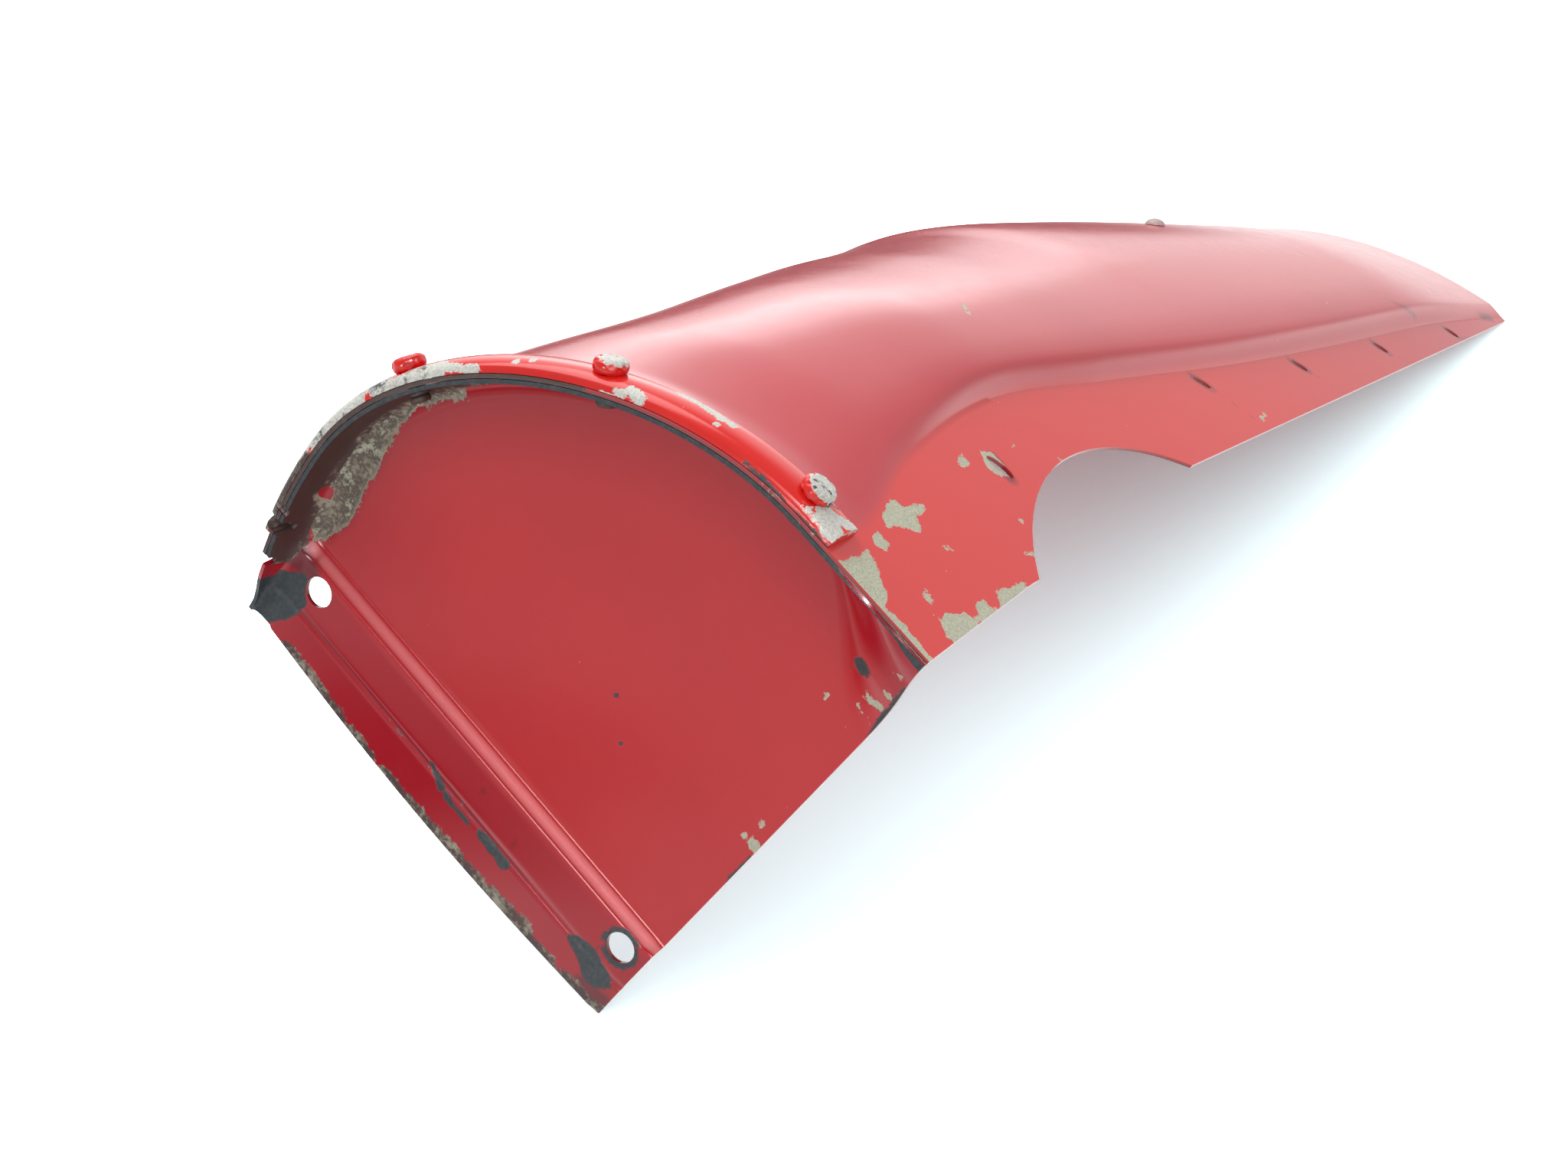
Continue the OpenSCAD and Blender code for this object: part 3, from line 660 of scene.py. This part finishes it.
round_hole = np.abs(np.hypot(flat[:, 0] - HOLES_X[0], flat[:, 1] - HOLE_Y) - HOLE_R - 0.5)
rim_end = RIM_Z - RIM_DIP * (1 - ease(co[:, 0] / SLOPE_REACH))
bare = np.maximum(np.maximum(bare, 1.3 - round_hole), 3 - 12 * np.abs(co[:, 2] - rim_end))
write_field(plate, "bare", np.where(skin, bare, -30))
# The groove of the rim's bend on the outer side: rust that grows darker the deeper it lies, which
# is partly painted shade.
groove_rust_and_shade = np.where((co[:, 0] > 96) & (co[:, 1] > np.where(co[:, 0] > 151, 24, 34)),
                  np.minimum((-co[:, 2] - 1.8) * 2, 0.3 * (co[:, 0] - 106)), -30)
groove_rust_and_shade = np.minimum(groove_rust_and_shade, from_bump * 3 - 7)
mottled = np.where((co[:, 0] > 136) & (co[:, 1] > 30), 0.5 * np.minimum(peel, 1.0) - 0.15, -3)
rusty = np.maximum(np.maximum(groove_rust_and_shade, lip_worn), mottled)
write_field(plate, "rust", np.where(skin, rusty, -30))
# Dark crimson marks along the lip's crease, on the strip, and at both ends of the rear edge.
soil = stroke(flat, [(82, 13, 40, 12.6, 0.5), (150, 13.6, 82, 13, 0.4), (66, 22, 64, 20, 0.5),
                     (50, 20, 49, 17, 0.6), (153, 27, 145, 25, 4.0), (8, 2, 1, 3, 4.5)])
write_field(plate, "soil", np.where(skin, soil, -30))

# Painted shade: the third colour, a darker crimson, darkens the plate's round edge, the sunk strip
# and the corner by the outer hole, and also the sloped rim, the margin of the large bare patch and
# the dot of paint left in the groove.
round_edge = [rim_point(np.array(v)) for v in np.linspace(0, BOW1, 26)]
painted_shade = 1 + stroke(flat, [(*p, *q, 0.0) for p, q in zip(round_edge, round_edge[1:])]) / 32
near_peel = np.clip(1.2 + 0.3 * peel, 0, 1) * (flat[:, 0] > 136)
near_hole = 0.7 * np.clip(1 - np.hypot(flat[:, 0] - 150, flat[:, 1] - 42) / 55, 0, 1)
painted_shade = np.maximum(0.95 * np.clip(painted_shade, 0, 1) ** 0.9, near_peel)
painted_shade = np.maximum(np.maximum(painted_shade, np.clip(-co[:, 2] / 8, 0, 1)), near_hole)
painted_shade = np.where(from_bump < 4, 1, painted_shade)
write_field(plate, "painted_shading", np.clip(np.maximum((30 - flat[:, 1]) / 4, painted_shade), 0, 1))
# Painted shade: the plate's inner face is marked to be painted dark brown.
write_field(plate, "inside", np.where(normal[:, 2] > 0.3, 1.0, 0.0))

lay_down(plate)
# The plate's third colour is a darker crimson: painted shade.
plate_paint = enamel("plate_enamel", (0.53, 0.011, 0.015), (0.46, 0.008, 0.013),
                     (0.36, 0.002, 0.012), shine=0.46)
coat(plate, plate_paint)
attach(plate, "root")
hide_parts("toe_plate")

# Collar strap: a half-round steel strip that hugs the outside of the shell at its foot and
# clamps the shell to the plate's rim. It is one strip swept round the bow.
STRAP_W, STRAP_H, STRAP_FROM_X, STRAP_TO_Y = 14.0, 3.6, 37.0, 32.6
rim_flange = float(along(FLANGE_AT, RIM_Z))
strap_at = np.linspace(FLANGE_C * STRAP_FROM_X / rim_flange,
                       BOW1 + WALL_C * (WALL_Y - STRAP_TO_Y) / (WALL_Y - WALL_BACK), 220)
arc = np.linspace(0, math.pi, 19)
lift = STRAP_H * np.sin(arc) ** 0.7


def strap_row(out, across):
    line = rim_point(strap_at, np.full_like(strap_at, NEST + out))
    z = np.full_like(strap_at, RIM_Z + STRAP_W * across)
    return np.stack([line[:, 0], line[:, 1], z], -1)


rows = [strap_row(out, (1 - math.cos(a)) / 2) for a, out in zip(arc, lift)]
rows += [strap_row(0, across) for across in np.linspace(1, 0, 8)[1:]]
strap = grid_piece("collar_strap", np.array(rows))
weld(strap, close=True)
punch_bites(strap)

# Marks of wear along the strap, as places (x, y, z). Most of its outer end has lost its paint.
co, normal = points_of(strap)
peel = stroke(co, [
    (161, 28, -8, 162, 58, -8, 7), (162, 58, -9, 158, 84, -10.5, 5.0),
    (158, 84, -10.5, 146, 110, -12.5, 3.4), (146, 112, -13, 137, 120, -14, 1.5),
    (130.3, 129.5, -11.8, 130, 130, -13, 1.1),
    (127.6, 132.5, -9.9, 127, 133, -11, 1.1), (106, 143.5, -14, 93, 148.5, -14, 1.2),
    (103, 147.3, -13.9, 102, 148, -13.4, 1.5), (101.5, 150, -12.5, 97, 150.5, -13.5, 1.8),
    (92, 154.5, -4, 77, 161, -6, 1.9), (79, 160, -10.8, 79, 160, -10, 0.8),
    (88, 156, -9, 88, 156, -10, 0.6), (44, 165, -9, 39, 165, -12, 2.8),
    (52, 166, -13, 44, 165, -13.5, 1.2), (42, 166, -8, 37, 165, -3, 2.3)])
write_field(strap, "peel", peel)
specks = stroke(co, [(161, 28, -8, 162, 58, -8, 9), (162, 58, -9, 150, 104, -12, 5)])
scraped = stroke(co, [(66, 161, -14.2, 36, 162, -14.2, 1.0), (46, 165, -6, 44, 165, -3, 0.8)])
write_field(strap, "bare", np.maximum(np.minimum(specks, -0.3), scraped))
write_field(strap, "rust", stroke(co, [(155, 38, -14, 162, 38, -7, 5.5),
                                       (160, 28, -14, 161, 60, -14, 1.8),
                                       (161, 60, -14, 150, 100, -14, 0.6)]))
write_field(strap, "painted_shading", 0.0)
write_field(strap, "soil", -9.0)
write_field(strap, "inside", 0.0)

lay_down(strap)
strap_paint = enamel("strap_enamel", (0.74, 0.020, 0.014), (0.60, 0.012, 0.010),
                     (0.6, 0.01, 0.01), primer=(0.66, 0.66, 0.60))
coat(strap, strap_paint)
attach(strap, "root")
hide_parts("collar_strip")

# Collar rivets: three solid rivets through strap, shell and rim. Their heads are low, straight
# sided and a little uneven, and their tails are closed behind the rim.
HEAD_D, HEAD_H, SHANK_D, DENT = 9.5, 3.5, 5.0, 0.6


def round_bar(sides, radius, depth, z, worn_edge=0.0, steps=0):
    deselect()
    bpy.ops.mesh.primitive_cylinder_add(vertices=sides, radius=radius, depth=depth,
                                        location=(0, 0, z))
    made = bpy.context.object
    bpy.ops.object.transform_apply(location=True)
    if steps:
        m = made.modifiers.new("worn edge", "BEVEL")
        m.width, m.segments, m.limit_method = worn_edge, steps, "ANGLE"
        apply_all(made)
    return made


def rivet_line(i):
    c = np.array(BOW0 + BOW_C * (0.02 + 0.37 * i))
    return rim_point(c), rim_point(c, np.array(1.0))


rivets = []
for i in range(3):
    p0, p1 = rivet_line(i)
    turn = math.atan2(p1[1] - p0[1], p1[0] - p0[0])
    place = (Matrix.Translation((p0[0], p0[1], RIM_Z + STRAP_W / 2))
             @ Matrix.Rotation(turn, 4, "Z") @ Matrix.Rotation(math.pi / 2, 4, "Y"))
    grip = STRAP_H + NEST + 0.1
    head = round_bar(48, HEAD_D / 2, HEAD_H + 0.8, grip + HEAD_H / 2 - 0.4, 1.9, 6)
    shank = round_bar(32, SHANK_D / 2, DEEP + 1 + grip, (grip - DEEP - 1) / 2)
    tail = round_bar(32, 0.57 * SHANK_D, 1.9, -DEEP - 1 - 0.95, 0.6, 3)
    for o in (head, shank, tail):
        o.data.transform(place)
        rivets.append(o)
choose(rivets[0])
for o in rivets:
    o.select_set(True)
bpy.ops.object.join()
rivets = bpy.context.object
rivets.name = rivets.data.name = "collar_rivet_set"

# The heads are dented inwards by a slow wave, and their raised parts have lost their paint.
co, normal = points_of(rivets)
swell = np.sin(co[:, 0] * 1.9 + 1) * np.sin(co[:, 1] * 1.7) * np.sin(co[:, 2] * 2.1 + 2)
outer = np.full(len(co), True)
for i in range(3):
    p0, p1 = rivet_line(i)
    near = np.linalg.norm(co[:, :2] - p0, axis=1) < 14
    outer = np.where(near, (co[:, :2] - p0) @ (p1 - p0) > 0, outer)
co += normal * (DENT * np.minimum(swell, 0) * outer)[:, None]
rivets.data.vertices.foreach_set("co", co.ravel())
bright = normal @ np.array([-0.5, 0.83, 0.25])
first, second = 7 * bright - 2.2 + 2 * swell, 5 * normal[:, 1] - 3.6 + 2 * swell
peel = np.where(co[:, 0] < 70, first, np.where(co[:, 0] < 130, second, 1.6 * swell - 1.6))
write_field(rivets, "peel", np.where(outer, peel, -4.0))
write_field(rivets, "bare", np.where(outer & (co[:, 0] < 70), 1.6 * swell - 1.0, -9))
write_field(rivets, "rust", np.where(outer, -9.0, 5.0))
write_field(rivets, "painted_shading", 0.0)
write_field(rivets, "soil", -9.0)
write_field(rivets, "inside", 0.0)

lay_down(rivets)
coat(rivets, strap_paint)
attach(rivets, "root")
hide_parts("collar_rivets")

# Side rivet: one small domed head of worn grey steel on the rounded corner, about two thirds of
# the way up. It is driven through the sheet and has lost its paint. Only its head shows.
SIDE_Z, SIDE_C, DOME_R, DOME_LOW = 372.0, BOW0 + 0.47 * BOW_C, 4.0, 0.64


def on_shell(z, c):
    return np.array([*[float(v) for v in section(z, c)], z])


at = on_shell(SIDE_Z, SIDE_C)
across = on_shell(SIDE_Z, SIDE_C + 0.2) - on_shell(SIDE_Z, SIDE_C - 0.2)
upwards = on_shell(SIDE_Z + 3, SIDE_C) - on_shell(SIDE_Z - 3, SIDE_C)
out = Vector(np.cross(upwards, across)).normalized()
deselect()
bpy.ops.mesh.primitive_uv_sphere_add(segments=40, ring_count=20, radius=DOME_R)
side = bpy.context.object
side.name = side.data.name = "side_rivet_head"
bpy.ops.object.mode_set(mode="EDIT")
bpy.ops.mesh.select_all(action="SELECT")
bpy.ops.mesh.bisect(plane_co=(0, 0, 0.2), plane_no=(0, 0, 1), clear_inner=True, use_fill=True)
bpy.ops.object.mode_set(mode="OBJECT")
side.data.transform(Matrix.Translation(at) @ out.to_track_quat("Z", "Y").to_matrix().to_4x4()
                    @ Matrix.Diagonal((0.98, 0.98, DOME_LOW, 1)))

worn = bpy.data.materials.new("worn_grey_steel")
worn.use_nodes = True
t = worn.node_tree
where = t.nodes.new("ShaderNodeTexCoord").outputs["Object"]
link(t, blend_colour(t, noise_at(t, where, 700), (0.55, 0.45, 0.44), (0.30, 0.20, 0.19)),
     t.nodes["Principled BSDF"].inputs["Base Color"])
t.nodes["Principled BSDF"].inputs["Roughness"].default_value = 0.45
lay_down(side)
coat(side, worn)
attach(side, "root")
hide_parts("side_rivet")

# Floor: the pale table top, which fills the frame. It is white to the camera. In the gloss of the
# paint it is a bright sheet with soft dark spots, which stand for the darker parts of the room.
deselect()
bpy.ops.mesh.primitive_plane_add(size=16, location=(0, 0, 0))
floor = bpy.context.object
floor.name = "studio_floor"
mat = bpy.data.materials.new("pale_floor")
mat.use_nodes = True
t = mat.node_tree
bsdf = t.nodes["Principled BSDF"]
bsdf.inputs["Roughness"].default_value = 0.9
bsdf.inputs["Specular IOR Level"].default_value = 0.0
rays = t.nodes.new("ShaderNodeLightPath")
link(t, blend_colour(t, rays.outputs["Is Camera Ray"], (0.84, 0.86, 0.88), (2.2, 2.8, 2.9)),
     bsdf.inputs["Base Color"])
spot = t.nodes.new("ShaderNodeTexCoord").outputs["Object"]


def away_from(place, near, far):
    dist = t.nodes.new("ShaderNodeVectorMath")
    dist.operation = "DISTANCE"
    link(t, spot, dist.inputs[0])
    dist.inputs[1].default_value = place
    return maths(t, "MULTIPLY_ADD", dist.outputs["Value"], 1 / (far - near), -near / (far - near),
                 clamp=True)


# Spots of the floor's mirror: dark ones for the streak on the shell, for the lip, for the sunk
# strip and behind the foot, and a bright one on the near side of the tip.
glow = t.nodes.new("ShaderNodeEmission")
far = maths(t, "MULTIPLY", away_from((0.36, 0.47, 0), 0.27, 0.34),
            away_from((-0.40, 0.11, 0), 0.04, 0.12))
strip_mirror = maths(t, "MULTIPLY_ADD", away_from((-0.56, 0.16, 0), 0.08, 0.16), 0.6, 0.4)
far = maths(t, "MULTIPLY", far, strip_mirror)
beside = maths(t, "SUBTRACT", 1.0, away_from((0.75, -0.35, 0), 0.3, 0.55))
behind = maths(t, "MULTIPLY_ADD", away_from((-0.92, 0.50, 0), 0.08, 0.30), 0.65, 0.35)
strength = maths(t, "MULTIPLY", maths(t, "MULTIPLY_ADD", far, 1.25, 0.12), behind)
link(t, maths(t, "MULTIPLY_ADD", beside, 0.65, strength), glow.inputs["Strength"])
mixed = t.nodes.new("ShaderNodeMixShader")
link(t, rays.outputs["Is Glossy Ray"], mixed.inputs[0])
link(t, bsdf.outputs[0], mixed.inputs[1])
link(t, glow.outputs[0], mixed.inputs[2])
link(t, mixed.outputs[0], t.nodes["Material Output"].inputs["Surface"])
coat(floor, mat)

# Room: an even white surround for the light. In the mirror of the gloss paint it is dimmer, with
# a brighter stretch low down beyond the tip and four bright windows.
world = bpy.data.worlds.new("white_room")
bpy.context.scene.world = world
world.use_nodes = True
t = world.node_tree
back = t.nodes["Background"]
back.inputs["Color"].default_value = (1, 1, 1, 1)
rays = t.nodes.new("ShaderNodeLightPath")
view = t.nodes.new("ShaderNodeTexCoord").outputs["Generated"]
parts = t.nodes.new("ShaderNodeSeparateXYZ")
link(t, view, parts.inputs[0])


def window(centre, inner, outer, strength):
    # A bright round spot that fades out between two angles, in degrees.
    dot = t.nodes.new("ShaderNodeVectorMath")
    dot.operation = "DOT_PRODUCT"
    link(t, view, dot.inputs[0])
    dot.inputs[1].default_value = Vector(centre).normalized()
    lo, hi = math.cos(math.radians(outer)), math.cos(math.radians(inner))
    ramp = maths(t, "MULTIPLY_ADD", dot.outputs["Value"], 1 / (hi - lo), -lo / (hi - lo),
                 clamp=True)
    return maths(t, "MULTIPLY", ramp, strength)


low_down = maths(t, "MULTIPLY_ADD", parts.outputs["Z"], -3.5, 2.4, clamp=True)
far_side = maths(t, "MULTIPLY_ADD", parts.outputs["Y"], 6.0, -0.3, clamp=True)
beyond_tip = maths(t, "MULTIPLY_ADD", parts.outputs["X"], 3.0, -0.6, clamp=True)
room = maths(t, "MULTIPLY", maths(t, "MULTIPLY_ADD", far_side, 0.6, 0.42),
             maths(t, "MULTIPLY", low_down, beyond_tip))
room = maths(t, "ADD", room, 0.48)
WINDOWS = (((-0.98, -0.02, 0.2), 4, 10, 16.0), ((-0.45, -0.55, 0.7), 12, 32, 5.5),
           ((-0.3, -0.41, 0.86), 3, 9, 75.0), ((0.78, 0.62, 0.0), 5, 16, 1.8))
for centre, inner, outer, strength in WINDOWS:
    room = maths(t, "ADD", room, window(centre, inner, outer, strength))
LIGHT = 0.87
mirror = maths(t, "MULTIPLY", rays.outputs["Is Glossy Ray"], maths(t, "SUBTRACT", room, LIGHT))
seen = maths(t, "MULTIPLY", rays.outputs["Is Camera Ray"], 1 - LIGHT)
link(t, maths(t, "ADD", maths(t, "ADD", mirror, seen), LIGHT), back.inputs["Strength"])

# Lamp: one large soft panel above and behind the object, which lays a soft shadow on the floor
# towards the camera.
lamp = bpy.data.lights.new("sky_panel", "AREA")
lamp.shape, lamp.size, lamp.size_y, lamp.energy = "RECTANGLE", 1.6, 1.2, 20
lamp_o = bpy.data.objects.new("sky_panel", lamp)
bpy.context.collection.objects.link(lamp_o)
lamp_o.location = (0.1, 0.9, 1.5)
aim = Vector((0, 0, 0.05)) - lamp_o.location
lamp_o.rotation_euler = aim.to_track_quat("-Z", "Y").to_euler()

# Camera: the view of the photo. Its place, turn and lens were fitted from the plate's corners,
# its two round holes and the shell's flange.
cam = bpy.data.cameras.new("photo_view")
cam.sensor_width, cam.lens = 36, 56.25
cam_o = bpy.data.objects.new("photo_view", cam)
bpy.context.collection.objects.link(cam_o)
cam_o.matrix_world = Matrix(((0.63718, 0.4108, -0.6521, -0.63909),
                             (-0.77071, 0.34339, -0.53674, -0.40728),
                             (0.00343, 0.84458, 0.53541, 0.46229), (0, 0, 0, 1)))
bpy.context.scene.camera = cam_o
bpy.context.scene.view_settings.view_transform = "Standard"
